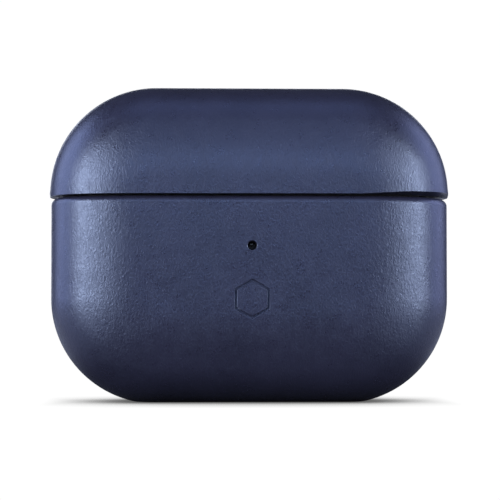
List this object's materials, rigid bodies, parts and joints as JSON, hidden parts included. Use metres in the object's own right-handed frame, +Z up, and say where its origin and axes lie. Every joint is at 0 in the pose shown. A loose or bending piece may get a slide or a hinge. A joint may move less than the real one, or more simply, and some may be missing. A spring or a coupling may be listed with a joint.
{
  "type": "wireless earbuds case",
  "caption": "Pebble-shaped charging case in a moulded leather cover, with a hinged lid, wells for a pair of earbuds, a status light, a pairing button and a charging port.",
  "frame": {"origin": "centre of the flat foot that the closed case stands on", "axes": "+X to the right and +Z up as seen from the front, which faces -Y; the hinge runs along X at the back"},
  "size_m": [0.064, 0.0254, 0.0503],
  "materials": {
    "leather": "smooth fine grain, navy, soft sheen",
    "cover_board": "moulded board inside the leather",
    "case_plastic": "satin charcoal, fine moulded texture",
    "steel": "satin",
    "magnet": "nickel plated",
    "gold_contact": "gold plated",
    "cell": "foil pouch",
    "board": "solder mask",
    "chip": "moulded black",
    "lamp": "clear lens",
    "dark_plastic": "fine satin",
    "flex": "thin amber film",
    "copper": "enamelled wire",
    "ferrite": "matt"
  },
  "bodies": {
    "base": {"base_leather": "leather", "base_cover_board": "cover_board", "base_shell": "case_plastic", "earbud_tray": "case_plastic", "hinge_base_leaf": "steel", "hinge_pin": "steel", "hinge_base_screws": "steel", "base_closing_magnets": "magnet", "earbud_magnets": "magnet", "contact_barrels_left": "gold_contact", "contact_barrels_right": "gold_contact", "contact_block_left": "dark_plastic", "contact_block_right": "dark_plastic", "contact_flex": "flex", "battery": "cell", "main_board": "board", "board_chips": "chip", "lid_sensor": "chip", "status_led": "lamp", "light_pipe": "lamp", "button_switch": "chip", "button_board": "board", "port_shell": "steel", "port_tongue": "dark_plastic", "port_board": "board", "port_trim_ring": "steel", "charging_coil": "copper", "coil_ferrite": "ferrite"},
    "lid": {"lid_leather": "leather", "lid_cover_board": "cover_board", "lid_shell": "case_plastic", "lid_tray": "case_plastic", "hinge_lid_leaf": "steel", "hinge_lid_screws": "steel", "lid_closing_magnets": "magnet"},
    "pairing_button": {"pairing_button": "case_plastic"},
    "contact_left_inner": {"contact_left_inner": "gold_contact"},
    "contact_left_outer": {"contact_left_outer": "gold_contact"},
    "contact_right_inner": {"contact_right_inner": "gold_contact"},
    "contact_right_outer": {"contact_right_outer": "gold_contact"}
  },
  "joints": [
    {"name": "lid_hinge", "type": "hinge", "parent": "base", "child": "lid", "pos_m": [0, 0.0112, 0.0325], "axis": [-1, 0, 0], "range_deg": [0, 100]},
    {"name": "pairing_button_press", "type": "slide", "parent": "base", "child": "pairing_button", "axis": [0, -1, 0], "range_m": [0, 0.00035], "stiffness_N_per_m": 500, "springref_m": -0.0002},
    {"name": "contact_left_inner_press", "type": "slide", "parent": "base", "child": "contact_left_inner", "axis": [0, 0, -1], "range_m": [0, 0.0008], "stiffness_N_per_m": 100, "springref_m": -0.0005},
    {"name": "contact_left_outer_press", "type": "slide", "parent": "base", "child": "contact_left_outer", "axis": [0, 0, -1], "range_m": [0, 0.0008], "stiffness_N_per_m": 100, "springref_m": -0.0005},
    {"name": "contact_right_inner_press", "type": "slide", "parent": "base", "child": "contact_right_inner", "axis": [0, 0, -1], "range_m": [0, 0.0008], "stiffness_N_per_m": 100, "springref_m": -0.0005},
    {"name": "contact_right_outer_press", "type": "slide", "parent": "base", "child": "contact_right_outer", "axis": [0, 0, -1], "range_m": [0, 0.0008], "stiffness_N_per_m": 100, "springref_m": -0.0005}
  ]
}
